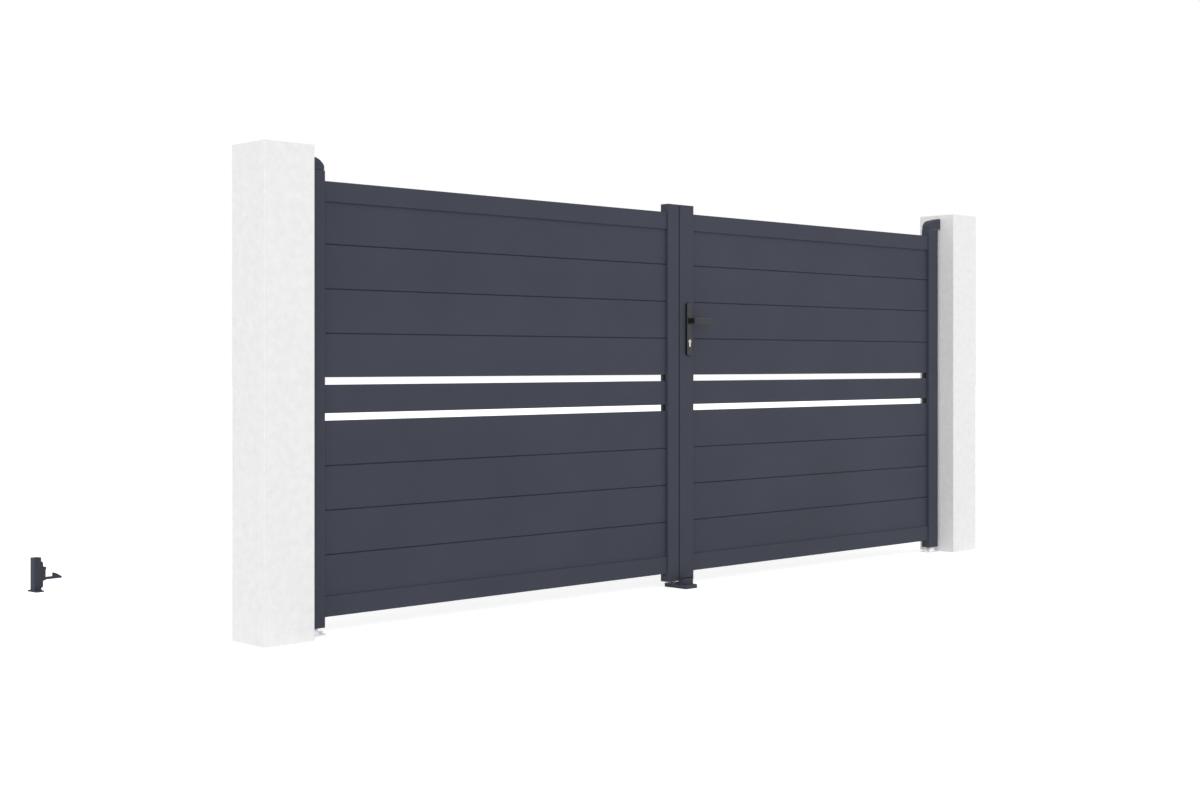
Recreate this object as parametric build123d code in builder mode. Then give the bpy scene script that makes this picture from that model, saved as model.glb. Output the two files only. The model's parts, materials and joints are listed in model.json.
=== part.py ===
"""Double-leaf aluminium swing gate between two rendered masonry pillars.

The origin is the middle of the left pillar's base, on the ground. X runs along the closed gate to the
right pillar, Y points into the yard, and Z is up. All sizes are in millimetres.
"""
from build123d import *
import math
import os

os.makedirs("parts", exist_ok=True)

# Site and pillars
opening_width = 4000.0
pillar_width = 210.0
pillar_rise = 77.5
pillar_edge = 1.5
ground_gap = 28.0
leaf_opening_angle = 94.0

# Stiles and hinge posts
hinge_gap = 22.5
hinge_post_width = 80.0
meeting_stile_width = 70.0
lock_stile_width = 90.0
meeting_gap = 6.0
stile_depth = 46.0
stile_wall = 3.0
stile_corner = 1.5
stile_overhang = 36.5
cap_thickness = 3.0
cap_plug = 14.0
plug_clearance = 0.3

# Rails, boards and the middle slat
rail_height = 75.0
rail_depth = 30.0
rail_wall = 2.5
rail_corner = 1.5
board_pitch = 163.25
board_joint = 4.0
board_depth = 16.0
board_wall = 2.0
board_edge = 1.0
boards_per_field = 4
tongue_depth = 5.0
tongue_height = 7.0
tongue_clearance = 0.4
slat_height = 105.0
slot_height = 27.0
channel_depth = 10.0
channel_clearance = 0.3

# Hinges
pin_diameter = 16.0
pin_running_clearance = 0.05
upper_pin_reach = 30.0
lower_pin_reach = 30.0
hinge_plug = 34.0
cover_gap = 1.5
cover_height = 56.0
cover_drop = 11.0
cover_flat = 58.0
cover_nose = 15.0
cover_end_gap = 3.0
cover_wall = 2.5
cover_edge = 2.0
bracket_plate = 6.0
bracket_plate_height = 36.0
bracket_arm = 12.0
bracket_width = 34.0
bracket_gap = 3.0
pivot_length = 90.0
pivot_width = 60.0
pivot_plate = 6.0
pivot_corner = 8.0
pivot_foot = 54.0
pivot_top = 34.0
pivot_sides = 24
pivot_bolt = 8.5
pivot_bolt_spacing = 72.0
thrust_gap = 0.3

# Lever handle and lock
handle_offset = 44.0
lever_height = 1182.0
lock_spacing = 92.0
handle_plate_width = 32.0
handle_plate_height = 231.0
handle_plate_above = 79.0
handle_plate_depth = 13.0
handle_plate_corner = 4.0
handle_plate_edge = 1.2
neck_diameter = 20.0
neck_reach = 44.0
grip_length = 109.0
grip_height = 24.0
grip_depth = 12.0
grip_corner = 3.0
grip_end = 2.0
grip_bend = 12.0
spindle_side = 8.0
spindle_clearance = 0.2
spindle_socket = 20.0
spindle_hole = 24.0
neck_gap = 0.5
cylinder_diameter = 17.0
cylinder_web = 10.0
cylinder_height = 33.0
cylinder_proud = 0.5
cylinder_clearance = 0.4
keyway_width = 2.4
keyway_height = 9.0
keyway_depth = 6.0
face_plate_width = 22.0
face_plate_height = 240.0
face_plate_clearance = 0.3
latch_height = 22.0
latch_width = 12.0
latch_drop = 20.0
bolt_height = 34.0
bolt_width = 10.0

# Centre floor stop
stop_plate_width = 76.0
stop_plate_back = 38.0
stop_plate_front = 97.0
stop_plate_thickness = 16.0
stop_plate_corner = 5.0
stop_side_shift = 2.0
stop_block_width = 62.0
stop_block_front = 70.0
stop_block_height = 42.0
stop_ramp_angle = 30.0
stop_edge = 2.0
stop_pad_width = 57.0
stop_pad_below = 11.0
stop_pad_lip = 4.0
stop_pad_depth = 4.0
stop_pad_clearance = 0.2
leaf_clearance = 5.0
stop_bolt = 9.0
stop_bolt_setback = 14.0

# Hold-open stops
holder_reach = 1835.0
holder_post_side = 34.0
holder_post_height = 148.0
holder_post_wall = 2.5
holder_cap = 3.0
holder_plate_along = 75.0
holder_plate_across = 40.0
holder_plate_thickness = 5.0
holder_plate_corner = 4.0
holder_bolt = 7.0
holder_bolt_spacing = 56.0
bumper_bottom = 15.0
bumper_top = 130.0
bumper_ear = 10.0
bumper_ear_round = 9.0
bumper_hollow = 5.0
bumper_shoulder = 105.0
bumper_reach = 25.0
bumper_nose_out = 3.0
bumper_nose_height = 9.0
bumper_nose_slope = 4.0
bumper_edge = 2.5
lug_width = 5.6
lug_drop = 8.0
lug_gap = 0.4
catch_pin = 8.0
catch_width = 16.0
catch_pivot_in = 12.0
catch_pivot_height = 54.0
catch_barrel = 14.0
catch_slot_gap = 1.0
catch_arm = 10.0
hook_height = 75.0
hook_tip_width = 3.0
hook_ramp_angle = 28.0
hook_ramp_bulge = 1.2

# Places that follow from the sizes above
pillar_face = pillar_width / 2
right_pillar_x = pillar_width + opening_width
centre_x = right_pillar_x / 2
half_opening = opening_width / 2
stile_bottom = ground_gap
rail_bottom = stile_bottom + stile_overhang
lower_field = rail_bottom + rail_height
field_height = boards_per_field * board_pitch - channel_depth + channel_clearance
slat_bottom = lower_field + field_height + slot_height
upper_field = slat_bottom + slat_height + slot_height
top_rail_bottom = upper_field + field_height
rail_top = top_rail_bottom + rail_height
stile_top = rail_top + stile_overhang
pillar_height = stile_top + pillar_rise
hinge_axis = hinge_gap + hinge_post_width / 2
leaf_inner = hinge_gap + hinge_post_width
seam_shift = (lock_stile_width - meeting_stile_width) / 2
left_leaf_end = half_opening - meeting_gap / 2 - seam_shift
right_leaf_end = half_opening - meeting_gap / 2 + seam_shift
cover_bottom = stile_top + cover_gap
bracket_bottom = cover_bottom + bracket_gap
lever_x = centre_x + handle_offset
cylinder_z = lever_height - lock_spacing
cylinder_middle = cylinder_z - (cylinder_height - cylinder_diameter) / 2
handle_plate_z = lever_height + handle_plate_above - handle_plate_height / 2
front_face = -stile_depth / 2
seat_depth = channel_depth - channel_clearance


def mirrored(shape):
    """The twin of a left-hand piece, about the middle of the opening."""
    return shape.mirror(Plane.YZ.offset(centre_x))


def save(part, name):
    part.label = name
    export_step(part, f"parts/{name}.step")


def cut_rectangle(width, height, corner):
    """Rectangle with cut corners in the current sketch."""
    outline = Rectangle(width, height)
    chamfer(outline.vertices(), length=corner)


# Pillars
with BuildPart() as left_pillar:
    Box(pillar_width, pillar_width, pillar_height, align=(Align.CENTER, Align.CENTER, Align.MIN))
    chamfer(left_pillar.edges().filter_by(Axis.Z), length=pillar_edge)
    chamfer(left_pillar.faces().sort_by(Axis.Z)[-1].edges(), length=pillar_edge)
save(left_pillar.part, "left_pillar")
save(mirrored(left_pillar.part), "right_pillar")


# Hollow stile with a channel for the board ends on the leaf side; inner_side is +1 or -1
def stile_section(width, middle, inner_side):
    with BuildSketch(Plane.XY.offset(stile_bottom + cap_thickness)) as section:
        with Locations((middle, 0)):
            cut_rectangle(width, stile_depth, stile_corner)
        with Locations((middle + inner_side * (width - channel_depth) / 2, 0)):
            Rectangle(channel_depth, board_depth + 2 * channel_clearance, mode=Mode.SUBTRACT)
        offset(amount=-stile_wall, kind=Kind.INTERSECTION, mode=Mode.SUBTRACT)
    return section.sketch


stile_length = stile_top - stile_bottom - 2 * cap_thickness


def channel_closers(width, middle, inner_side):
    """Close the channel of the current stile above and below the rails."""
    channel_middle = middle + inner_side * (width - channel_depth) / 2
    closer_length = stile_overhang - cap_thickness
    with Locations((channel_middle, 0, rail_bottom - closer_length), (channel_middle, 0, rail_top)):
        Box(channel_depth, board_depth + 2 * channel_clearance, closer_length,
            align=(Align.CENTER, Align.CENTER, Align.MIN))


def end_caps(width, middle, inner_side, plug_height, bore):
    """Top and bottom caps that plug into the stile's chamber; a bore takes a hinge pin."""
    chamber_width = width - channel_depth - 2 * stile_wall
    chamber_middle = middle - inner_side * channel_depth / 2
    with BuildPart() as caps:
        for face, direction in ((stile_top - cap_thickness, 1), (stile_bottom + cap_thickness, -1)):
            with BuildSketch(Plane.XY.offset(face)):
                with Locations((middle, 0)):
                    cut_rectangle(width, stile_depth, stile_corner)
            extrude(amount=direction * cap_thickness)
            with BuildSketch(Plane.XY.offset(face)):
                with Locations((chamber_middle, 0)):
                    Rectangle(chamber_width - 2 * plug_clearance,
                              stile_depth - 2 * stile_wall - 2 * plug_clearance)
            extrude(amount=-direction * plug_height)
        if bore:
            with BuildSketch(Plane.XY):
                with Locations((middle, 0)):
                    Circle(pin_diameter / 2 + pin_running_clearance)
            extrude(amount=stile_top, mode=Mode.SUBTRACT)
    return caps.part


# Hinge posts
post_middle = pillar_face + hinge_axis
with BuildPart() as left_hinge_post:
    add(stile_section(hinge_post_width, post_middle, 1))
    extrude(amount=stile_length)
    channel_closers(hinge_post_width, post_middle, 1)
save(left_hinge_post.part, "left_hinge_post")
save(mirrored(left_hinge_post.part), "right_hinge_post")

hinge_caps = end_caps(hinge_post_width, post_middle, 1, hinge_plug, True)
save(mirrored(hinge_caps), "right_hinge_caps")
save(hinge_caps, "left_hinge_caps")

# Meeting stile of the left leaf, with the cut-out for its strike plate
meeting_middle = pillar_face + left_leaf_end - meeting_stile_width / 2
meeting_edge = pillar_face + left_leaf_end
with BuildPart() as left_meeting_stile:
    add(stile_section(meeting_stile_width, meeting_middle, -1))
    extrude(amount=stile_length)
    channel_closers(meeting_stile_width, meeting_middle, -1)
    with Locations((meeting_edge, 0, handle_plate_z)):
        Box(2 * stile_wall, face_plate_width, face_plate_height, mode=Mode.SUBTRACT)
save(left_meeting_stile.part, "left_meeting_stile")
save(end_caps(meeting_stile_width, meeting_middle, -1, cap_plug, False), "left_stile_caps")


def euro_profile(clearance):
    """Euro lock profile in the current sketch, centred on the plug's axis."""
    web_height = cylinder_height - cylinder_diameter / 2 - cylinder_web / 2
    Circle(cylinder_diameter / 2 + clearance)
    with Locations((0, -web_height / 2)):
        Rectangle(cylinder_web + 2 * clearance, web_height)
    with Locations((0, -web_height)):
        Circle(cylinder_web / 2 + clearance)


# Lock stile of the right leaf, cut out behind the handle plates for the spindle and the cylinder
lock_edge = meeting_edge + meeting_gap
lock_middle = lock_edge + lock_stile_width / 2
with BuildPart() as right_lock_stile:
    add(stile_section(lock_stile_width, lock_middle, 1))
    extrude(amount=stile_length)
    channel_closers(lock_stile_width, lock_middle, 1)
    with Locations((lock_edge, 0, handle_plate_z)):
        Box(2 * stile_wall, face_plate_width, face_plate_height, mode=Mode.SUBTRACT)
    with BuildSketch(Plane(origin=(lever_x, 0, lever_height), x_dir=(1, 0, 0), z_dir=(0, -1, 0))):
        Rectangle(spindle_hole, spindle_hole)
        with Locations((0, cylinder_middle - lever_height)):
            Rectangle(cylinder_diameter + 2 * cylinder_clearance, cylinder_height + 2 * cylinder_clearance)
    extrude(amount=stile_depth, both=True, mode=Mode.SUBTRACT)
save(right_lock_stile.part, "right_lock_stile")
save(end_caps(lock_stile_width, lock_middle, 1, cap_plug, False), "right_stile_caps")


def edge_plate(edge, inward):
    """Strike or lock face plate, flush in a stile's edge, with slots for latch and bolt."""
    middle = edge + inward * stile_wall / 2
    with BuildPart() as plate:
        with Locations((middle, 0, handle_plate_z)):
            Box(stile_wall, face_plate_width - 2 * face_plate_clearance,
                face_plate_height - 2 * face_plate_clearance)
        with Locations((middle, 0, lever_height - latch_drop)):
            Box(2 * stile_wall, latch_width, latch_height, mode=Mode.SUBTRACT)
        with Locations((middle, 0, cylinder_z - latch_drop)):
            Box(2 * stile_wall, bolt_width, bolt_height, mode=Mode.SUBTRACT)
    return plate.part


save(edge_plate(meeting_edge, -1), "left_strike_plate")
save(edge_plate(lock_edge, 1), "right_lock_face_plate")


# Rails with a channel for the edge boards; channel_side is +1 for a bottom rail
def rail(start, length, bottom, channel_side):
    with BuildPart() as bar:
        with BuildSketch(Plane.YZ.offset(start)):
            with Locations((0, bottom + rail_height / 2)):
                cut_rectangle(rail_depth, rail_height, rail_corner)
            with Locations((0, bottom + rail_height / 2 + channel_side * (rail_height - channel_depth) / 2)):
                Rectangle(board_depth + 2 * channel_clearance, channel_depth, mode=Mode.SUBTRACT)
            offset(amount=-rail_wall, kind=Kind.INTERSECTION, mode=Mode.SUBTRACT)
        extrude(amount=length)
    return bar.part


def board_outline(bottom, height, tongue, groove):
    """Hollow tongue-and-groove board section in the current sketch."""
    with Locations((0, bottom + height / 2)):
        cut_rectangle(board_depth, height, board_edge)
    if tongue:
        with Locations((0, bottom + height + (board_joint + tongue_height) / 2)):
            Rectangle(tongue_depth, board_joint + tongue_height)
    groove_depth = tongue_height + tongue_clearance if groove else 0
    if groove:
        with Locations((0, bottom + groove_depth / 2)):
            Rectangle(tongue_depth + 2 * tongue_clearance, groove_depth, mode=Mode.SUBTRACT)
    chamber_bottom = bottom + groove_depth + board_wall
    chamber_height = (bottom + height - chamber_bottom - 2 * board_wall) / 2
    for step in range(2):
        with Locations((0, chamber_bottom + chamber_height / 2 + step * (chamber_height + board_wall))):
            Rectangle(board_depth - 2 * board_wall, chamber_height, mode=Mode.SUBTRACT)


def board_field(start, length, bottom):
    """One field of tongue-and-groove boards, laid from its lowest board up."""
    with BuildPart() as field:
        for number in range(boards_per_field):
            last = number == boards_per_field - 1
            height = board_pitch if last else board_pitch - board_joint
            with BuildSketch(Plane.YZ.offset(start)):
                board_outline(bottom + number * board_pitch, height, not last, number > 0)
            extrude(amount=length)
    return field.part


def slat(start, length):
    with BuildPart() as piece:
        with BuildSketch(Plane.YZ.offset(start)):
            board_outline(slat_bottom, slat_height, False, False)
        extrude(amount=length)
    return piece.part


def infill(side, start, length):
    """Rails, two fields of boards and the slat of one leaf."""
    seat_start = start - seat_depth
    seat_length = length + 2 * seat_depth
    save(rail(start, length, rail_bottom, 1), f"{side}_bottom_rail")
    save(rail(start, length, top_rail_bottom, -1), f"{side}_top_rail")
    save(board_field(seat_start, seat_length, lower_field - seat_depth), f"{side}_lower_boards")
    save(board_field(seat_start, seat_length, upper_field), f"{side}_upper_boards")
    save(slat(seat_start, seat_length), f"{side}_middle_slat")


left_start = pillar_face + leaf_inner
left_length = left_leaf_end - meeting_stile_width - leaf_inner
right_start = lock_edge + lock_stile_width
right_length = right_leaf_end - lock_stile_width - leaf_inner
infill("left", left_start, left_length)
infill("right", right_start, right_length)

# Upper hinge bracket with its pin, fixed to the pillar
with BuildPart() as left_hinge_bracket:
    with Locations((pillar_face, 0, bracket_bottom)):
        Box(bracket_plate, bracket_width, bracket_plate_height, align=(Align.MIN, Align.CENTER, Align.MIN))
        Box(hinge_axis, bracket_width, bracket_arm, align=(Align.MIN, Align.CENTER, Align.MIN))
    with Locations((post_middle, 0, bracket_bottom)):
        Cylinder(bracket_width / 2, bracket_arm, align=(Align.CENTER, Align.CENTER, Align.MIN))
    with Locations((post_middle, 0, stile_top - upper_pin_reach)):
        Cylinder(pin_diameter / 2, bracket_bottom - stile_top + upper_pin_reach,
                 align=(Align.CENTER, Align.CENTER, Align.MIN))
save(left_hinge_bracket.part, "left_hinge_bracket")
save(mirrored(left_hinge_bracket.part), "right_hinge_bracket")


def cover_outline(inset):
    """Side view of the hinge cover: high at the pillar, rounded down at the leaf end."""
    end = pillar_face + leaf_inner - cover_end_gap - inset
    with BuildLine() as outline:
        back = Line((pillar_face, cover_bottom), (pillar_face, cover_bottom + cover_height - inset))
        top = Line(back @ 1, (pillar_face + cover_flat, cover_bottom + cover_height - cover_drop - inset))
        nose = TangentArc(top @ 1, (end, cover_bottom + cover_nose), tangent=top % 1)
        front = Line(nose @ 1, (end, cover_bottom))
        Line(front @ 1, back @ 0)
    return outline.edges()


with BuildPart() as left_hinge_cover:
    with BuildSketch(Plane.XZ):
        make_face(cover_outline(0))
    extrude(amount=stile_depth / 2, both=True)
    cover_faces = left_hinge_cover.faces().sort_by(Axis.Y)
    for side_face in (cover_faces[0], cover_faces[-1]):
        rim = side_face.edges().filter_by(Axis.X, reverse=True).sort_by(Axis.X)[1:]
        chamfer(rim, length=cover_edge)
    with BuildSketch(Plane.XZ):
        make_face(cover_outline(cover_wall))
    extrude(amount=stile_depth / 2 - cover_wall, both=True, mode=Mode.SUBTRACT)
save(left_hinge_cover.part, "left_hinge_cover")
save(mirrored(left_hinge_cover.part), "right_hinge_cover")

# Ground pivot: bolted plate, tapered thrust collar and pin
collar_height = stile_bottom - thrust_gap - pivot_plate
collar_taper = math.degrees(math.atan((pivot_foot - pivot_top) / 2 / collar_height))
with BuildPart() as left_ground_pivot:
    with BuildSketch(Plane.XY):
        with Locations((post_middle, 0)):
            cut_rectangle(pivot_length, pivot_width, pivot_corner)
            with GridLocations(pivot_bolt_spacing, 0, 2, 1):
                Circle(pivot_bolt / 2, mode=Mode.SUBTRACT)
    extrude(amount=pivot_plate)
    with BuildSketch(Plane.XY.offset(pivot_plate)):
        with Locations((post_middle, 0)):
            RegularPolygon(pivot_foot / 2, pivot_sides)
    extrude(amount=collar_height, taper=collar_taper)
    with Locations((post_middle, 0, pivot_plate)):
        Cylinder(pin_diameter / 2, stile_bottom + lower_pin_reach - pivot_plate,
                 align=(Align.CENTER, Align.CENTER, Align.MIN))
save(left_ground_pivot.part, "left_ground_pivot")
save(mirrored(left_ground_pivot.part), "right_ground_pivot")


# Handle plates; side is -1 for the street side and +1 for the yard side
def handle_plate(side):
    back = side * stile_depth / 2
    with BuildPart() as plate:
        with BuildSketch(Plane(origin=(lever_x, back, handle_plate_z), x_dir=(1, 0, 0), z_dir=(0, side, 0))):
            cut_rectangle(handle_plate_width, handle_plate_height, handle_plate_corner)
        extrude(amount=handle_plate_depth)
        outer = plate.faces().sort_by(Axis.Y)[-1 if side > 0 else 0]
        chamfer(outer.edges(), length=handle_plate_edge)
        with BuildSketch(Plane(origin=(lever_x, back, lever_height), x_dir=(1, 0, 0), z_dir=(0, side, 0))):
            Circle(neck_diameter / 2 + pin_running_clearance)
        extrude(amount=handle_plate_depth, mode=Mode.SUBTRACT)
        with BuildSketch(Plane(origin=(lever_x, 0, cylinder_z), x_dir=(1, 0, 0), z_dir=(0, -1, 0))):
            euro_profile(cylinder_clearance)
        extrude(amount=stile_depth, both=True, mode=Mode.SUBTRACT)
    return plate.part


save(handle_plate(-1), "front_handle_plate")
save(handle_plate(1), "rear_handle_plate")


def lever(side):
    """Round neck in the plate, bent into a flat grip that points along the leaf."""
    face = side * stile_depth / 2
    grip_y = face + side * (handle_plate_depth + neck_reach - grip_depth / 2)
    with BuildPart() as piece:
        with BuildLine():
            FilletPolyline((lever_x, face + side * handle_plate_depth, lever_height),
                           (lever_x, grip_y, lever_height),
                           (lever_x + grip_length, grip_y, lever_height), radius=grip_bend)
        with BuildSketch(Plane(origin=(lever_x, face + side * handle_plate_depth, lever_height),
                               x_dir=(1, 0, 0), z_dir=(0, side, 0))):
            grip = Rectangle(grip_depth, grip_height)
            chamfer(grip.vertices(), length=grip_corner)
        sweep()
        chamfer(piece.faces().sort_by(Axis.X)[-1].edges(), length=grip_end)
        with BuildSketch(Plane(origin=(lever_x, face + side * neck_gap, lever_height),
                               x_dir=(1, 0, 0), z_dir=(0, side, 0))):
            Circle(neck_diameter / 2)
        extrude(amount=handle_plate_depth - neck_gap + spindle_socket / 2)
        with BuildSketch(Plane(origin=(lever_x, face, lever_height), x_dir=(1, 0, 0), z_dir=(0, side, 0))):
            Rectangle(spindle_side + 2 * spindle_clearance, spindle_side + 2 * spindle_clearance)
        extrude(amount=spindle_socket, mode=Mode.SUBTRACT)
    return piece.part


save(lever(-1), "front_lever")
save(lever(1), "rear_lever")

with BuildPart() as lever_spindle:
    with Locations((lever_x, 0, lever_height)):
        Box(spindle_side, stile_depth + 2 * (spindle_socket - spindle_clearance), spindle_side)
save(lever_spindle.part, "lever_spindle")

# Profile cylinder through the lock stile, with a keyway at each end
cylinder_half = stile_depth / 2 + handle_plate_depth + cylinder_proud
with BuildPart() as lock_cylinder:
    with BuildSketch(Plane(origin=(lever_x, 0, cylinder_z), x_dir=(1, 0, 0), z_dir=(0, -1, 0))):
        euro_profile(0)
    extrude(amount=cylinder_half, both=True)
    for side in (-1, 1):
        with Locations((lever_x, side * (cylinder_half - keyway_depth / 2), cylinder_z)):
            Box(keyway_width, keyway_depth, keyway_height, mode=Mode.SUBTRACT)
save(lock_cylinder.part, "lock_cylinder")

# Centre floor stop: a bolted plate with a wedge, and a rubber pad let into its ramp that laps over its top
stop_x = meeting_edge + meeting_gap / 2 + stop_side_shift
block_x = stop_x + (stop_plate_width - stop_block_width) / 2
ramp_turn = math.radians(stop_ramp_angle)
ramp_at_leaf = stile_bottom - leaf_clearance / math.cos(ramp_turn)
ramp_start = front_face - (stop_block_height - ramp_at_leaf) / math.tan(ramp_turn)
ramp_finish = front_face + (ramp_at_leaf - stop_plate_thickness) / math.tan(ramp_turn)
stop_plate_length = stop_plate_back + stop_plate_front
stop_plate_middle = (stop_plate_back - stop_plate_front) / 2
pad_plane = Plane(origin=(block_x, front_face - leaf_clearance * math.sin(ramp_turn),
                          stile_bottom - leaf_clearance * math.cos(ramp_turn)),
                  x_dir=(1, 0, 0), z_dir=(0, math.sin(ramp_turn), math.cos(ramp_turn)))
stop_pad_above = (stop_block_height + stop_pad_lip - pad_plane.origin.Z) / math.sin(ramp_turn)
stop_pad_length = stop_pad_below + stop_pad_above
stop_pad_middle = (stop_pad_below - stop_pad_above) / 2
with BuildPart() as centre_stop:
    with BuildSketch(Plane.YZ.offset(block_x)):
        with BuildLine():
            Polyline((-stop_block_front, stop_plate_thickness), (-stop_block_front, stop_block_height),
                     (ramp_start, stop_block_height), (ramp_finish, stop_plate_thickness), close=True)
        make_face()
    extrude(amount=stop_block_width / 2, both=True)
    chamfer(centre_stop.faces().sort_by(Axis.Y)[0].edges().sort_by(Axis.Z)[1:], length=stop_edge)
    with BuildSketch(Plane.XY):
        with Locations((stop_x, stop_plate_middle)):
            cut_rectangle(stop_plate_width, stop_plate_length, stop_plate_corner)
            with GridLocations(0, stop_plate_length - 2 * stop_bolt_setback, 1, 2):
                Circle(stop_bolt / 2, mode=Mode.SUBTRACT)
    extrude(amount=stop_plate_thickness)
    with BuildSketch(pad_plane):
        with Locations((0, stop_pad_middle)):
            Rectangle(stop_pad_width + 2 * stop_pad_clearance, stop_pad_length + 2 * stop_pad_clearance)
    extrude(amount=-stop_pad_depth, mode=Mode.SUBTRACT)
save(centre_stop.part, "centre_stop")

with BuildPart() as centre_stop_buffer:
    with BuildSketch(pad_plane):
        with Locations((0, stop_pad_middle)):
            Rectangle(stop_pad_width, stop_pad_length)
    extrude(amount=-stop_pad_depth)
save(centre_stop_buffer.part, "centre_stop_buffer")

# Hold-open stop of the left leaf, in a plane that faces the open leaf
open_turn = math.radians(leaf_opening_angle)
along = Vector(math.cos(open_turn), math.sin(open_turn), 0)
towards_leaf = Vector(math.sin(open_turn), -math.cos(open_turn), 0)
leaf_half = rail_depth / 2
post_to_leaf = holder_post_side / 2 + bumper_reach + leaf_clearance + leaf_half
holder_origin = Vector(post_middle, 0, 0) + along * holder_reach - towards_leaf * post_to_leaf
holder_plane = Plane(origin=holder_origin, x_dir=towards_leaf, z_dir=(0, 0, 1))
holder_side = Plane(origin=holder_origin, x_dir=towards_leaf, z_dir=-along)
post_face = holder_post_side / 2
bumper_nose = post_face + bumper_reach
pivot_x = post_face + catch_pivot_in
rail_near = bumper_nose + leaf_clearance
rail_far = rail_near + rail_depth

with BuildPart() as left_holder_plate:
    with BuildSketch(holder_plane):
        cut_rectangle(holder_plate_across, holder_plate_along, holder_plate_corner)
        with GridLocations(0, holder_bolt_spacing, 1, 2):
            Circle(holder_bolt / 2, mode=Mode.SUBTRACT)
    extrude(amount=holder_plate_thickness)
save(left_holder_plate.part, "left_holder_plate")
save(mirrored(left_holder_plate.part), "right_holder_plate")

with BuildPart() as left_holder_post:
    with BuildSketch(holder_plane.offset(holder_plate_thickness)):
        cut_rectangle(holder_post_side, holder_post_side, stile_corner)
        offset(amount=-holder_post_wall, kind=Kind.INTERSECTION, mode=Mode.SUBTRACT)
    extrude(amount=holder_post_height - holder_plate_thickness - holder_cap)
    with BuildSketch(holder_plane.offset(holder_post_height - holder_cap)):
        cut_rectangle(holder_post_side, holder_post_side, stile_corner)
    extrude(amount=holder_cap)
save(left_holder_post.part, "left_holder_post")
save(mirrored(left_holder_post.part), "right_holder_post")

# Moulded bumper: two ears on the post, a nose that meets the leaf and a fork at its foot for the catch
ear_face = post_face + bumper_ear
bumper_face = bumper_nose - bumper_nose_out
bumper_foot = catch_pivot_height - lug_drop
nose_bottom = bumper_shoulder - bumper_nose_height
fork_width = catch_width + 2 * lug_gap
slot_back = pivot_x - catch_barrel / 2 - catch_slot_gap
slot_top = catch_pivot_height + catch_barrel / 2 + catch_slot_gap
slot_bottom = bumper_foot - lug_drop
with BuildPart() as left_holder_bumper:
    with BuildSketch(holder_side):
        with BuildLine():
            FilletPolyline((post_face, bumper_bottom), (ear_face, bumper_bottom), (ear_face, bumper_foot),
                           (bumper_face, bumper_foot), (bumper_face, nose_bottom - bumper_nose_slope),
                           (bumper_nose, nose_bottom), (bumper_nose, bumper_shoulder),
                           (ear_face, bumper_shoulder), (ear_face, bumper_top), (post_face, bumper_top),
                           radius=(0, bumper_ear_round, bumper_hollow, bumper_edge, 0, 0, bumper_edge,
                                   bumper_hollow, bumper_ear_round, 0), close=True)
        make_face()
    extrude(amount=fork_width / 2 + lug_width, both=True)
    with BuildSketch(holder_side):
        with Locations(((slot_back + bumper_nose) / 2, (slot_bottom + slot_top) / 2)):
            Rectangle(bumper_nose - slot_back, slot_top - slot_bottom)
    extrude(amount=fork_width / 2, both=True, mode=Mode.SUBTRACT)
    with BuildSketch(holder_side):
        with Locations((pivot_x, catch_pivot_height)):
            Circle(catch_pin / 2)
    extrude(amount=fork_width / 2 + lug_width, both=True)
save(left_holder_bumper.part, "left_holder_bumper")
save(mirrored(left_holder_bumper.part), "right_holder_bumper")

# Tilting catch: barrel on the pin, arm under the rail, hook with a run-up ramp and a rounded end
hook_start = rail_far + leaf_clearance
hook_turn = math.radians(hook_ramp_angle)
arm_bottom = catch_pivot_height - catch_arm / 2
arm_top = catch_pivot_height + catch_arm / 2
ramp_top = Vector(hook_start + hook_tip_width, hook_height)
ramp_foot = Vector(ramp_top.X + (hook_height - arm_top) / math.tan(hook_turn), arm_top)
ramp_middle = (ramp_top + ramp_foot) / 2 + Vector(math.sin(hook_turn), math.cos(hook_turn)) * hook_ramp_bulge
with BuildPart() as left_holder_catch:
    with BuildSketch(holder_side):
        with BuildLine():
            Line((hook_start, arm_bottom), (hook_start, hook_height))
            Line((hook_start, hook_height), ramp_top)
            ThreePointArc(ramp_top, ramp_middle, ramp_foot)
            Polyline(ramp_foot, (ramp_foot.X, arm_bottom), (hook_start, arm_bottom))
        make_face()
        with Locations(((pivot_x + ramp_foot.X) / 2, catch_pivot_height)):
            Rectangle(ramp_foot.X - pivot_x, catch_arm)
        with Locations((ramp_foot.X, catch_pivot_height)):
            Circle(catch_arm / 2)
        with Locations((pivot_x, catch_pivot_height)):
            Circle(catch_barrel / 2)
            Circle(catch_pin / 2 + pin_running_clearance, mode=Mode.SUBTRACT)
    extrude(amount=catch_width / 2, both=True)
save(left_holder_catch.part, "left_holder_catch")
save(mirrored(left_holder_catch.part), "right_holder_catch")
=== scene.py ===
"""Looks of the double-leaf swing gate: finishes, fixings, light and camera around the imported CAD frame."""
import json
import math

import bmesh
import bpy
from mathutils import Matrix, Vector


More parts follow.
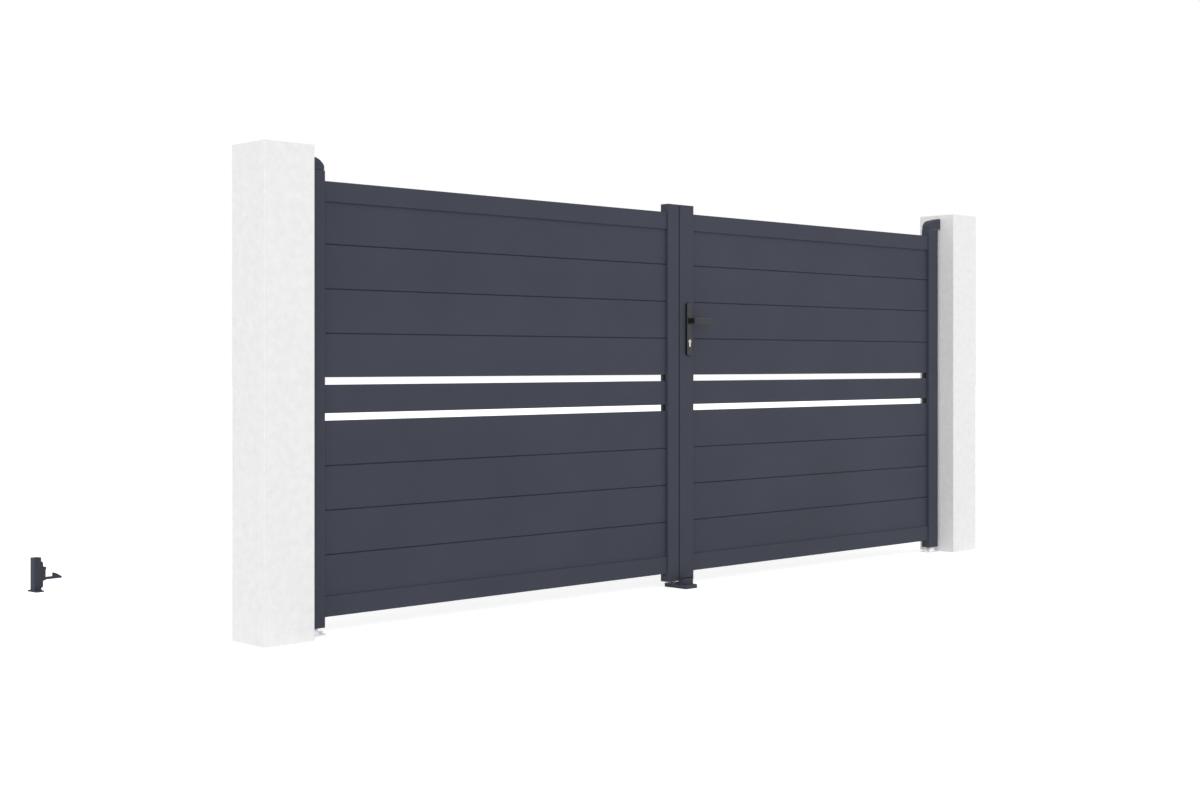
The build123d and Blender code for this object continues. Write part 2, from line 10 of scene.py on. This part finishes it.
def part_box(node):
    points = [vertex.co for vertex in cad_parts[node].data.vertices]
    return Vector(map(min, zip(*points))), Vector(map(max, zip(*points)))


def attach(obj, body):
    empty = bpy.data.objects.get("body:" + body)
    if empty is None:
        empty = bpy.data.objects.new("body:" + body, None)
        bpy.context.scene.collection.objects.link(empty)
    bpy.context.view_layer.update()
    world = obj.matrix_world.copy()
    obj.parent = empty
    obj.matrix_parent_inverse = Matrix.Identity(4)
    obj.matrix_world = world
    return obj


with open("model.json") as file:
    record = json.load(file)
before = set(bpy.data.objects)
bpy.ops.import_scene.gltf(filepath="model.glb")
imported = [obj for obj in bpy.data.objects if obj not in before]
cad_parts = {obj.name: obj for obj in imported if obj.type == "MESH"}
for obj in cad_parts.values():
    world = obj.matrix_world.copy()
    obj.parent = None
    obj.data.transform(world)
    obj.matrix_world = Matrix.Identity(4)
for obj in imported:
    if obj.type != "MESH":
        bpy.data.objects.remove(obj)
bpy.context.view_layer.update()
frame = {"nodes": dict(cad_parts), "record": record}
nodes = frame["nodes"]
record = frame["record"]
mounts = {row["name"]: row for row in record["mounts"]}
joints = {row["name"]: row for row in record["behaviour"]["joints"]}

MM = 0.001
UP = Vector((0, 0, 1))

# Camera, at the photo's viewing angle: metres, degrees, and the photo's pixels for the horizon
PHOTO_WIDTH = 1200
HORIZON_ABOVE_MIDDLE = 36.1
CAMERA_PLACE = (-3.3064, -5.0900, 0.9946)
CAMERA_LEVEL = 90.0
CAMERA_TURN = -44.10
CAMERA_LENS = 50.0
CAMERA_SENSOR = 36.0
CAMERA_FAR = 150.0

# Studio
WHITE = (1, 1, 1, 1)
FLOOR_REACH = 60.0
FLOOR_COLOUR = (0.97, 0.97, 0.97, 1)
FLOOR_GLOW = 0.48
BACKGROUND_LEVEL = 1.0
SKY_LEVEL = 0.72
KEY_LEVEL = 1.00
KEY_ANGLE = 70.0
KEY_FROM = (-3.3, -3.8, 3.6)

# Colours of the finishes, darker and lighter tone of each
COAT_TONES = ((0.0530, 0.0583, 0.0772), (0.0590, 0.0650, 0.0858))
PLASTER_TONES = ((0.832, 0.832, 0.831), (0.919, 0.919, 0.917))
CAP_TONES = ((0.0380, 0.0425, 0.0600), (0.0430, 0.0475, 0.0660))
ZINC_TONES = ((0.83, 0.84, 0.85), (0.92, 0.92, 0.93))
HANDLE_TONES = ((0.0085, 0.0105, 0.0105), (0.0115, 0.0135, 0.0135))
NICKEL_TONES = ((0.56, 0.52, 0.46), (0.76, 0.72, 0.65))
CASTING_TONES = ((0.0500, 0.0560, 0.0770), (0.0600, 0.0660, 0.0900))
RUBBER_TONES = ((0.0035, 0.0036, 0.0038), (0.0060, 0.0061, 0.0065))
MOULDING_TONES = ((0.0270, 0.0300, 0.0380), (0.0320, 0.0350, 0.0440))

# Textures: the values that most of a noise lies between, and the flat middle of a pit
NOISE_LOW = 0.3
NOISE_HIGH = 0.7
PIT_FLOOR = 0.5
EVEN = (1, 1, 1)

# Fixings, in metres
HOLDER_BOLT = 6 * MM
PIVOT_BOLT = 8 * MM
PIVOT_BOLT_SPACING = 72 * MM
PIVOT_PLATE = 6 * MM
STOP_SCREW = 7.2 * MM
STOP_SCREW_RISE = 2.4 * MM
STOP_PLATE = 16 * MM
PLATE_SCREW = 3.6 * MM
PLATE_SCREW_INSET = 9 * MM
PLATE_SCREW_RISE = 1.1 * MM
HANDLE_SCREW = 4.0 * MM
HANDLE_SCREW_INSET = 14 * MM
HANDLE_SCREW_RISE = 1.6 * MM
EAR_SCREW = 4.6 * MM
EAR_SCREW_RISE = 2.4 * MM
EAR_SCREW_HEIGHTS = (26 * MM, 118 * MM)
BUMPER_EAR = 10 * MM
RIVET = 5.5 * MM
RIVET_RISE = 1.6 * MM
BUMPER_HALF_WIDTH = 14 * MM
PLUG = 7.0 * MM
PLUG_RISE = 1.2 * MM
PLUG_SPREAD = 17 * MM
WELD_WIDTH = 3.2 * MM
WELD_BULGE = 0.62
WELD_RIPPLE = 0.22
WELD_PITCH = 2.6 * MM
WELD_STEP = 0.65 * MM
LATCH_SIZE = (14 * MM, 11 * MM, 21 * MM)
DEAD_BOLT_SIZE = (14 * MM, 9 * MM, 33 * MM)
TONGUE_BEVEL = 1.0 * MM
LATCH_BELOW_LEVER = 20 * MM
LOCK_SPACING = 92 * MM
LOCK_SETBACK = 0.8 * MM
PLUG_RING_OUTER = 7.2 * MM
PLUG_RING_INNER = 6.2 * MM
PLUG_RING_RISE = 0.35 * MM
CYLINDER_RADIUS = 8.5 * MM

# Heads of the fixings, as loops about their axis: radius, height, and sides of the loop
RING_POINTS = 24
SHARP_ANGLE = 32.0
ROUND = 0
HEXAGON = 6

# A hex bolt on its washer, in shares of the thread's diameter
HEX_BOLT_LOOPS = (
    (1.000, 0.000, ROUND),
    (1.000, 0.140, ROUND),
    (0.940, 0.200, ROUND),
    (0.800, 0.200, HEXAGON),
    (0.800, 0.761, HEXAGON),
    (0.744, 0.860, ROUND),
)

# A low head with a hexagon socket, in shares of its radius and its rise
SOCKET_SCREW_LOOPS = (
    (1.00, 0.00, ROUND),
    (1.00, 0.35, ROUND),
    (0.88, 0.78, ROUND),
    (0.66, 1.00, ROUND),
    (0.44, 1.00, HEXAGON),
    (0.42, 0.30, HEXAGON),
)

# A dome: the share of its rise that is a straight rim, and the radii of the loops above it
DOME_RIM = 0.3
DOME_RADII = (0.92, 0.75, 0.50, 0.20)


# Camera
def add_camera():
    data = bpy.data.cameras.new("photo_camera")
    camera = bpy.data.objects.new("photo_camera", data)
    bpy.context.scene.collection.objects.link(camera)
    camera.location = CAMERA_PLACE
    camera.rotation_euler = (math.radians(CAMERA_LEVEL), 0, math.radians(CAMERA_TURN))
    data.lens = CAMERA_LENS
    data.sensor_width = CAMERA_SENSOR
    data.shift_y = -HORIZON_ABOVE_MIDDLE / PHOTO_WIDTH
    data.clip_end = CAMERA_FAR
    bpy.context.scene.camera = camera


# Material building blocks
def start_material(name, metallic=0.0, specular=0.5):
    material = bpy.data.materials.new(name)
    material.use_nodes = True
    shader = material.node_tree.nodes["Principled BSDF"]
    shader.inputs["Metallic"].default_value = metallic
    shader.inputs["Specular IOR Level"].default_value = specular
    return material


def object_place(material, stretch=EVEN):
    """The object's own coordinates in metres, stretched for a texture."""
    tree = material.node_tree
    place = tree.nodes.new("ShaderNodeTexCoord")
    mapping = tree.nodes.new("ShaderNodeMapping")
    mapping.inputs["Scale"].default_value = stretch
    tree.links.new(place.outputs["Object"], mapping.inputs["Vector"])
    return mapping.outputs["Vector"]


def noise(material, scale, detail=2, stretch=EVEN, grit=0.5):
    """A cloudy value; the scale is in waves per metre."""
    node = material.node_tree.nodes.new("ShaderNodeTexNoise")
    node.inputs["Scale"].default_value = scale
    node.inputs["Detail"].default_value = detail
    node.inputs["Roughness"].default_value = grit
    material.node_tree.links.new(object_place(material, stretch), node.inputs["Vector"])
    return node.outputs["Fac"]


def cell_texture(material, scale):
    """A texture of cells about scattered points; the scale is in cells per metre."""
    node = material.node_tree.nodes.new("ShaderNodeTexVoronoi")
    node.inputs["Scale"].default_value = scale
    material.node_tree.links.new(object_place(material), node.inputs["Vector"])
    return node


def crystals(material, scale):
    """One grey value for each cell of a crystal-like pattern."""
    grey = material.node_tree.nodes.new("ShaderNodeSeparateColor")
    texture = cell_texture(material, scale)
    material.node_tree.links.new(texture.outputs["Color"], grey.inputs["Color"])
    return grey.outputs["Red"]


def pits(material, scale, radius):
    """0 in round pits strewn over the surface, 1 between them; the radius is a share of their spacing."""
    edge = material.node_tree.nodes.new("ShaderNodeMapRange")
    edge.inputs["From Min"].default_value = PIT_FLOOR * radius
    edge.inputs["From Max"].default_value = radius
    texture = cell_texture(material, scale)
    material.node_tree.links.new(texture.outputs["Distance"], edge.inputs["Value"])
    return edge.outputs["Result"]


def product(material, first, second):
    """Two texture values, multiplied."""
    node = material.node_tree.nodes.new("ShaderNodeMath")
    node.operation = "MULTIPLY"
    material.node_tree.links.new(first, node.inputs[0])
    material.node_tree.links.new(second, node.inputs[1])
    return node.outputs["Value"]


def tint(material, factor, tones, start=NOISE_LOW, end=NOISE_HIGH):
    """Base colour between two tones, led by a texture."""
    tree = material.node_tree
    ramp = tree.nodes.new("ShaderNodeValToRGB")
    for element, position, tone in zip(ramp.color_ramp.elements, (start, end), tones):
        element.position = position
        element.color = (*tone, 1)
    tree.links.new(factor, ramp.inputs["Fac"])
    tree.links.new(ramp.outputs["Color"], tree.nodes["Principled BSDF"].inputs["Base Color"])


def vary_roughness(material, factor, low, high):
    """Roughness between two values, led by a texture."""
    tree = material.node_tree
    span = tree.nodes.new("ShaderNodeMapRange")
    span.inputs["From Min"].default_value = NOISE_LOW
    span.inputs["From Max"].default_value = NOISE_HIGH
    span.inputs["To Min"].default_value = low
    span.inputs["To Max"].default_value = high
    tree.links.new(factor, span.inputs["Value"])
    tree.links.new(span.outputs["Result"], tree.nodes["Principled BSDF"].inputs["Roughness"])


def add_bump(material, factor, strength, depth, below=None):
    """Relief from a texture, laid over another relief if one is given."""
    tree = material.node_tree
    bump = tree.nodes.new("ShaderNodeBump")
    bump.inputs["Strength"].default_value = strength
    bump.inputs["Distance"].default_value = depth
    tree.links.new(factor, bump.inputs["Height"])
    if below is not None:
        tree.links.new(below, bump.inputs["Normal"])
    tree.links.new(bump.outputs["Normal"], tree.nodes["Principled BSDF"].inputs["Normal"])
    return bump.outputs["Normal"]


# Finishes
def powder_coat(name, tones):
    """Satin powder coat: faint cloudiness, orange peel and a fine grain."""
    material = start_material(name, specular=0.08)
    tint(material, noise(material, scale=2.4, detail=4), tones)
    vary_roughness(material, noise(material, scale=70, detail=3), low=0.54, high=0.58)
    peel = add_bump(material, noise(material, scale=380), strength=0.25, depth=0.4 * MM)
    add_bump(material, noise(material, scale=1800), strength=0.40, depth=0.2 * MM, below=peel)
    return material


def plaster(name, tones):
    """Fine rubbed render: cloudy tone, trowel passes, sand grain and small pits, with painted shade in the
    pits.
    """
    material = start_material(name, specular=0.2)
    pit_relief_and_painted_shade = pits(material, scale=38, radius=0.10)
    clouds = noise(material, scale=30, detail=9, grit=0.62)
    # The pits pull the tint to the darker tone: painted shade in the hollows, besides their bump below.
    tint(material, product(material, clouds, pit_relief_and_painted_shade), tones, start=0.25, end=0.75)
    vary_roughness(material, noise(material, scale=40, detail=3), low=0.86, high=0.97)
    trowel = noise(material, scale=13, detail=4, stretch=(1, 1, 1.8))
    passes = add_bump(material, trowel, strength=0.22, depth=4 * MM)
    coarse = noise(material, scale=150, detail=5)
    sand = add_bump(material, coarse, strength=0.42, depth=1.2 * MM, below=passes)
    grain = add_bump(material, noise(material, scale=900), strength=0.32, depth=0.4 * MM, below=sand)
    add_bump(material, pit_relief_and_painted_shade, strength=0.6, depth=1.0 * MM, below=grain)
    return material


def moulded_plastic(name, tones, roughness, spread=0.06):
    """Moulded plastic with a spark-eroded grain."""
    material = start_material(name, specular=0.4)
    tint(material, noise(material, scale=30, detail=3), tones)
    patches = noise(material, scale=60, detail=3)
    vary_roughness(material, patches, low=roughness - spread, high=roughness + spread)
    add_bump(material, noise(material, scale=1500, detail=3), strength=0.25, depth=0.25 * MM)
    return material


def zinc(name, tones):
    """Hot-dip zinc with its crystal spangle."""
    material = start_material(name, metallic=0.25)
    tint(material, crystals(material, scale=260), tones, start=0.0, end=1.0)
    vary_roughness(material, noise(material, scale=90, detail=3), low=0.34, high=0.52)
    add_bump(material, noise(material, scale=240, detail=4), strength=0.15, depth=0.4 * MM)
    return material


def black_satin(name, tones):
    """Black handle finish, smoother than the gate's coat."""
    material = start_material(name)
    tint(material, noise(material, scale=45, detail=3), tones)
    vary_roughness(material, noise(material, scale=160, detail=3), low=0.23, high=0.32)
    add_bump(material, noise(material, scale=1300), strength=0.08, depth=0.15 * MM)
    return material


def brushed_nickel(name, tones):
    """Plated brass, brushed up and down."""
    material = start_material(name, metallic=1.0)
    brush = noise(material, scale=900, detail=3, stretch=(1, 1, 0.04))
    tint(material, brush, tones)
    vary_roughness(material, brush, low=0.22, high=0.36)
    add_bump(material, brush, strength=0.12, depth=0.1 * MM)
    return material


def painted_casting(name, tones):
    """Sand casting under paint."""
    material = start_material(name, specular=0.08)
    tint(material, noise(material, scale=22, detail=4), tones)
    vary_roughness(material, noise(material, scale=55, detail=3), low=0.44, high=0.58)
    sand = add_bump(material, noise(material, scale=240, detail=5), strength=0.28, depth=0.8 * MM)
    add_bump(material, noise(material, scale=1100), strength=0.15, depth=0.3 * MM, below=sand)
    return material


def rubber(name, tones):
    """Dull moulded rubber."""
    material = start_material(name, specular=0.12)
    tint(material, noise(material, scale=70, detail=4), tones)
    vary_roughness(material, noise(material, scale=120, detail=3), low=0.70, high=0.86)
    add_bump(material, noise(material, scale=700, detail=3), strength=0.25, depth=0.3 * MM)
    return material


finishes = {
    "powder_coat": powder_coat("powder_coat", COAT_TONES),
    "render": plaster("render", PLASTER_TONES),
    "cap_plastic": moulded_plastic("cap_plastic", CAP_TONES, roughness=0.5),
    "galvanised_steel": zinc("galvanised_steel", ZINC_TONES),
    "black_handle": black_satin("black_handle", HANDLE_TONES),
    "nickel": brushed_nickel("nickel", NICKEL_TONES),
    "stop_casting": painted_casting("stop_casting", CASTING_TONES),
    "rubber": rubber("rubber", RUBBER_TONES),
    "bumper_plastic": moulded_plastic("bumper_plastic", MOULDING_TONES, roughness=0.52),
    "holder_metal": powder_coat("holder_metal", COAT_TONES),
}


def dress_nodes():
    """Give every CAD node the finish of its material slot."""
    for row in record["subparts"]:
        mesh = nodes[row["node"]].data
        mesh.materials.clear()
        mesh.materials.append(finishes[row["material_slot"]])


# Mesh building blocks
def ring(radius, height, sides=ROUND):
    """A loop of points about Z: round, or along a polygon of that inner radius."""
    points = []
    for step in range(RING_POINTS):
        angle = 2 * math.pi * step / RING_POINTS
        reach = radius
        if sides:
            sector = 2 * math.pi / sides
            reach = radius / math.cos(angle % sector - sector / 2)
        points.append(Vector((reach * math.cos(angle), reach * math.sin(angle), height)))
    return points


def standing(place, axis):
    """The move that takes a shape about Z to a place, with Z along an axis."""
    turn = Vector(axis).to_track_quat("Z", "Y").to_matrix().to_4x4()
    return Matrix.Translation(place) @ turn


def bridge(builder, loop, after):
    """Add the faces between two loops of points."""
    for step in range(len(loop)):
        following = (step + 1) % len(loop)
        builder.faces.new((loop[step], loop[following], after[following], after[step]))


def add_turned(builder, rings, place, axis):
    """Add a closed shape through a row of rings, standing at a place along an axis."""
    matrix = standing(place, axis)
    loops = [[builder.verts.new(matrix @ point) for point in points] for points in rings]
    for lower, upper in zip(loops, loops[1:]):
        bridge(builder, lower, upper)
    builder.faces.new(loops[0][::-1])
    builder.faces.new(loops[-1])


def add_band(builder, loops):
    """Add the faces from each loop to the next, and from the last one back to the first."""
    for loop, after in zip(loops, loops[1:] + loops[:1]):
        bridge(builder, loop, after)


def finish_piece(builder, name, body, slot):
    """Turn a mesh under way into a piece that rides on a body and wears a finish."""
    bmesh.ops.recalc_face_normals(builder, faces=builder.faces)
    mesh = bpy.data.meshes.new(name)
    builder.to_mesh(mesh)
    builder.free()
    for polygon in mesh.polygons:
        polygon.use_smooth = True
    mesh.set_sharp_from_angle(angle=math.radians(SHARP_ANGLE))
    mesh.materials.append(finishes[slot])
    piece = bpy.data.objects.new(name, mesh)
    bpy.context.scene.collection.objects.link(piece)
    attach(piece, body)


# Fasteners
def add_hex_bolt(builder, place, axis, size):
    """Hex head on a washer; size is the thread's diameter."""
    rings = [ring(size * across, size * height, sides) for across, height, sides in HEX_BOLT_LOOPS]
    add_turned(builder, rings, place, axis)


def add_socket_screw(builder, place, axis, radius, rise):
    """Low round head with a hexagon socket."""
    rings = [ring(radius * across, rise * height, sides) for across, height, sides in SOCKET_SCREW_LOOPS]
    add_turned(builder, rings, place, axis)


def add_dome(builder, place, axis, radius, rise):
    """Shallow domed head or plug."""
    rings = [ring(radius, 0), ring(radius, DOME_RIM * rise)]
    for share in DOME_RADII:
        height = DOME_RIM + (1 - DOME_RIM) * math.sqrt(1 - share * share)
        rings.append(ring(share * radius, rise * height))
    add_turned(builder, rings, place, axis)


def node_middle(name):
    low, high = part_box(name)
    return (Vector(low) + Vector(high)) / 2


def holder_axes(side):
    """Directions of a hold-open stop: along the open leaf, and from its post to the leaf."""
    axis = Vector(joints[f"{side}_catch_tilt"]["axis"])
    along = axis if axis.y > 0 else -axis
    towards = Vector((along.y, -along.x, 0))
    if side == "right":
        towards = -towards
    return along, towards


def holder_foot(side):
    """Where the middle of a hold-open post meets its plate."""
    middle = node_middle(f"{side}_holder_post")
    plate_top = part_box(f"{side}_holder_plate")[1][2]
    return Vector((middle.x, middle.y, plate_top))


def holder_post_half(side):
    """Half the side of a hold-open post, from the box around its turned square."""
    along = holder_axes(side)[0]
    low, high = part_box(f"{side}_holder_post")
    return (high[0] - low[0]) / 2 / (abs(along.x) + abs(along.y))


def holder_fixings(side):
    """Foot bolts, ear screws and pin heads of one hold-open stop."""
    along, towards = holder_axes(side)
    foot = holder_foot(side)
    spacing = mounts[f"{side}_holder_bolts"]["dims"]["pcd_mm"] * MM
    builder = bmesh.new()
    for end in (-1, 1):
        add_hex_bolt(builder, foot + along * (end * spacing / 2), UP, HOLDER_BOLT)
    finish_piece(builder, f"{side}_holder_bolts", "root", "holder_metal")

    ear_face = holder_post_half(side) + BUMPER_EAR
    pivot = Vector(joints[f"{side}_catch_tilt"]["pos_m"])
    builder = bmesh.new()
    for height in EAR_SCREW_HEIGHTS:
        place = Vector((foot.x, foot.y, height)) + towards * ear_face
        add_socket_screw(builder, place, towards, EAR_SCREW, EAR_SCREW_RISE)
    for end in (-1, 1):
        add_dome(builder, pivot + along * (end * BUMPER_HALF_WIDTH), along * end, RIVET, RIVET_RISE)
    finish_piece(builder, f"{side}_holder_screws", "root", "holder_metal")


def weld_path(half):
    """Points and outward directions around a square post, closed."""
    steps = round(2 * half / WELD_STEP)
    path = []
    for side in range(4):
        turn = Matrix.Rotation(side * math.pi / 2, 3, "Z")
        outward = turn @ Vector((1, 0, 0))
        for step in range(steps):
            offset = -half + 2 * half * step / steps
            direction = (turn @ Vector((1, -1, 0))).normalized() if step == 0 else outward
            path.append((turn @ Vector((half, offset, 0)), direction))
    return path


def holder_weld(side):
    """Rippled weld bead around the foot of a hold-open post."""
    along, towards = holder_axes(side)
    base = holder_foot(side)
    builder = bmesh.new()
    loops = []
    for number, (point, outward) in enumerate(weld_path(holder_post_half(side))):
        ripple = 1 + WELD_RIPPLE * math.sin(2 * math.pi * number * WELD_STEP / WELD_PITCH)
        width = WELD_WIDTH * ripple
        root = base + towards * point.x + along * point.y
        out = towards * outward.x + along * outward.y
        bulge = root + (out + UP) * (WELD_BULGE * width)
        section = (root + UP * width, bulge, root + out * width, root)
        loops.append([builder.verts.new(corner) for corner in section])
    add_band(builder, loops)
    finish_piece(builder, f"{side}_holder_weld", "root", "holder_metal")


def pivot_bolts(side):
    """Bolts of a ground pivot's plate."""
    middle = Vector(joints[f"{side}_leaf_swing"]["pos_m"])
    builder = bmesh.new()
    for end in (-1, 1):
        place = Vector((middle.x + end * PIVOT_BOLT_SPACING / 2, 0, PIVOT_PLATE))
        add_hex_bolt(builder, place, UP, PIVOT_BOLT)
    finish_piece(builder, f"{side}_pivot_bolts", "root", "galvanised_steel")


def stop_bolts():
    """Socket heads of the bolts in the floor stop's plate."""
    middle = Vector(mounts["centre_stop_bolts"]["pos_m"])
    spacing = mounts["centre_stop_bolts"]["dims"]["spacing_y_mm"] * MM
    builder = bmesh.new()
    for end in (-1, 1):
        place = Vector((middle.x, middle.y + end * spacing / 2, STOP_PLATE))
        add_socket_screw(builder, place, UP, STOP_SCREW, STOP_SCREW_RISE)
    finish_piece(builder, "centre_stop_bolts", "root", "stop_casting")


def post_plugs(side):
    """Cover plugs over the rail screws, in the side of a hinge post that faces its pillar."""
    low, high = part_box(f"{side}_hinge_post")
    face = low[0] if side == "left" else high[0]
    axis = Vector((-1 if side == "left" else 1, 0, 0))
    heights = []
    for rail in ("top_rail", "bottom_rail"):
        middle = node_middle(f"{side}_{rail}")
        heights += [middle.z - PLUG_SPREAD, middle.z + PLUG_SPREAD]
    heights.append(node_middle(f"{side}_middle_slat").z)
    builder = bmesh.new()
    for height in heights:
        add_dome(builder, Vector((face, 0, height)), axis, PLUG, PLUG_RISE)
    finish_piece(builder, f"{side}_post_plugs", f"{side}_leaf", "cap_plastic")


def edge_plate_screws(node, body, outward, name):
    """Screws at the ends of the strike plate or the lock's face plate."""
    low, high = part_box(node)
    face = high[0] if outward > 0 else low[0]
    builder = bmesh.new()
    for height in (low[2] + PLATE_SCREW_INSET, high[2] - PLATE_SCREW_INSET):
        place = Vector((face, 0, height))
        add_socket_screw(builder, place, (outward, 0, 0), PLATE_SCREW, PLATE_SCREW_RISE)
    finish_piece(builder, name, body, "galvanised_steel")


def add_block(builder, middle, size, bevel):
    """A bevelled bar, for the lock's tongues."""
    made = bmesh.ops.create_cube(builder, size=1.0)
    for vertex in made["verts"]:
        vertex.co = Vector(middle) + Vector(a * b for a, b in zip(vertex.co, size))
    edges = {edge for vertex in made["verts"] for edge in vertex.link_edges}
    bmesh.ops.bevel(builder, geom=list(edges), offset=bevel, segments=2, affect="EDGES", profile=0.5)


def lock_tongues():
    """Latch and dead bolt, drawn back flush in the face plate."""
    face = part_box("right_lock_face_plate")[0][0] + LOCK_SETBACK
    lever_height = joints["lever_turn"]["pos_m"][2]
    latch_height = lever_height - LATCH_BELOW_LEVER
    builder = bmesh.new()
    for size, height in ((LATCH_SIZE, latch_height), (DEAD_BOLT_SIZE, latch_height - LOCK_SPACING)):
        add_block(builder, (face + size[0] / 2, 0, height), size, TONGUE_BEVEL)
    finish_piece(builder, "lock_tongues", "right_leaf", "nickel")


def handle_screws():
    """Screws of the handle set, on the yard side."""
    low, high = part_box("rear_handle_plate")
    middle = node_middle("rear_handle_plate")
    builder = bmesh.new()
    for height in (low[2] + HANDLE_SCREW_INSET, high[2] - HANDLE_SCREW_INSET):
        place = Vector((middle.x, high[1], height))
        add_socket_screw(builder, place, (0, 1, 0), HANDLE_SCREW, HANDLE_SCREW_RISE)
    finish_piece(builder, "handle_screws", "right_leaf", "black_handle")


def cylinder_rings():
    """The edge of the turning plug on both ends of the lock cylinder."""
    low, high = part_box("lock_cylinder")
    middle = node_middle("lock_cylinder")
    height = high[2] - CYLINDER_RADIUS
    outline = (
        (PLUG_RING_OUTER, 0),
        (PLUG_RING_OUTER, PLUG_RING_RISE),
        (PLUG_RING_INNER, PLUG_RING_RISE),
        (PLUG_RING_INNER, 0),
    )
    builder = bmesh.new()
    for face, side in ((low[1], -1), (high[1], 1)):
        matrix = standing((middle.x, face, height), (0, side, 0))
        rings = [ring(radius, rise) for radius, rise in outline]
        add_band(builder, [[builder.verts.new(matrix @ point) for point in points] for points in rings])
    finish_piece(builder, "cylinder_rings", "right_leaf", "nickel")


# Studio
def white_rays(tree):
    """1 for the rays that should see a white background, 0 for the light on the object."""
    path = tree.nodes.new("ShaderNodeLightPath")
    total = path.outputs["Is Camera Ray"]
    for ray in ("Is Glossy Ray", "Is Transmission Ray"):
        either = tree.nodes.new("ShaderNodeMath")
        either.operation = "MAXIMUM"
        tree.links.new(total, either.inputs[0])
        tree.links.new(path.outputs[ray], either.inputs[1])
        total = either.outputs["Value"]
    return total


def floor_material():
    """White floor that shows a faint shadow."""
    material = bpy.data.materials.new("studio_floor")
    material.use_nodes = True
    tree = material.node_tree
    tree.nodes.remove(tree.nodes["Principled BSDF"])
    matt = tree.nodes.new("ShaderNodeBsdfDiffuse")
    matt.inputs["Color"].default_value = FLOOR_COLOUR
    glow = tree.nodes.new("ShaderNodeEmission")
    level = tree.nodes.new("ShaderNodeMath")
    level.operation = "MULTIPLY"
    level.inputs[1].default_value = FLOOR_GLOW
    tree.links.new(white_rays(tree), level.inputs[0])
    tree.links.new(level.outputs["Value"], glow.inputs["Strength"])
    added = tree.nodes.new("ShaderNodeAddShader")
    tree.links.new(matt.outputs["BSDF"], added.inputs[0])
    tree.links.new(glow.outputs["Emission"], added.inputs[1])
    tree.links.new(added.outputs["Shader"], tree.nodes["Material Output"].inputs["Surface"])
    return material


def add_floor():
    mesh = bpy.data.meshes.new("studio_floor")
    reach = FLOOR_REACH
    corners = [(-reach, -reach, 0), (reach, -reach, 0), (reach, reach, 0), (-reach, reach, 0)]
    mesh.from_pydata(corners, [], [(0, 1, 2, 3)])
    mesh.materials.append(floor_material())
    floor = bpy.data.objects.new("studio_floor", mesh)
    bpy.context.scene.collection.objects.link(floor)


def add_sky():
    """White all round: full white to look at, a plain level as light."""
    world = bpy.data.worlds.new("studio_sky")
    bpy.context.scene.world = world
    world.use_nodes = True
    tree = world.node_tree
    light = tree.nodes["Background"]
    light.inputs["Color"].default_value = WHITE
    light.inputs["Strength"].default_value = SKY_LEVEL
    seen = tree.nodes.new("ShaderNodeBackground")
    seen.inputs["Color"].default_value = WHITE
    seen.inputs["Strength"].default_value = BACKGROUND_LEVEL
    choice = tree.nodes.new("ShaderNodeMixShader")
    tree.links.new(white_rays(tree), choice.inputs["Fac"])
    tree.links.new(light.outputs["Background"], choice.inputs[1])
    tree.links.new(seen.outputs["Background"], choice.inputs[2])
    tree.links.new(choice.outputs["Shader"], tree.nodes["World Output"].inputs["Surface"])


def add_key():
    """A broad soft light from the front left."""
    data = bpy.data.lights.new("soft_key", "SUN")
    data.energy = KEY_LEVEL
    data.angle = math.radians(KEY_ANGLE)
    key = bpy.data.objects.new("soft_key", data)
    key.rotation_euler = Vector(KEY_FROM).to_track_quat("Z", "Y").to_euler()
    bpy.context.scene.collection.objects.link(key)


# The whole scene
add_camera()
dress_nodes()
for side in ("left", "right"):
    holder_fixings(side)
    holder_weld(side)
    pivot_bolts(side)
    post_plugs(side)
stop_bolts()
edge_plate_screws("left_strike_plate", "left_leaf", 1, "strike_plate_screws")
edge_plate_screws("right_lock_face_plate", "right_leaf", -1, "face_plate_screws")
lock_tongues()
handle_screws()
cylinder_rings()
add_floor()
add_sky()
add_key()
bpy.context.scene.view_settings.view_transform = "Standard"
